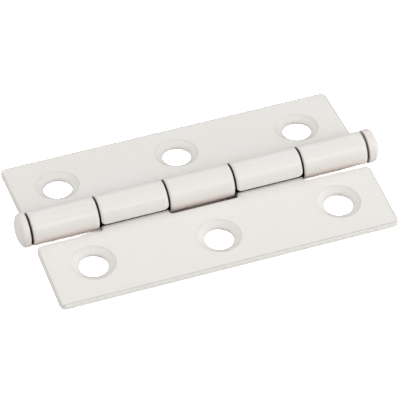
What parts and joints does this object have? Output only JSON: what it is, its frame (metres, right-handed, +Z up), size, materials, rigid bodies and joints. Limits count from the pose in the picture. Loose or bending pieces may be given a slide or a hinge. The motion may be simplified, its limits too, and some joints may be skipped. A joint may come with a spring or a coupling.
{
  "type": "swaged butt hinge",
  "caption": "Swaged butt hinge in pressed sheet steel, coated cream white: two leaves with rolled knuckles on a pin with button ends, and countersunk screw holes.",
  "frame": {"origin": "on the pin's axis, midway along the leaves", "axes": "+X along the pin towards the pressed tip, +Y across the three-knuckle leaf, +Z up out of the countersunk faces, with the hinge lying open on a bench"},
  "size_m": [0.0826, 0.045, 0.0076],
  "materials": {
    "leaf_coat": "warm off-white powder coat on sheet steel, satin, thick enough to soften the edges",
    "pin_coat": "the same coat over the pin's button ends, which were sprayed once the hinge was assembled"
  },
  "bodies": {
    "fixed_leaf": {"three_knuckle_leaf": "leaf_coat", "hinge_pin": "pin_coat", "pressed_tip": "pin_coat"},
    "swinging_leaf": {"two_knuckle_leaf": "leaf_coat"}
  },
  "joints": [
    {"name": "leaf_swing", "type": "hinge", "parent": "fixed_leaf", "child": "swinging_leaf", "pos_m": [0, 0, 0], "axis": [-1, 0, 0], "range_deg": [-116, 190]}
  ]
}
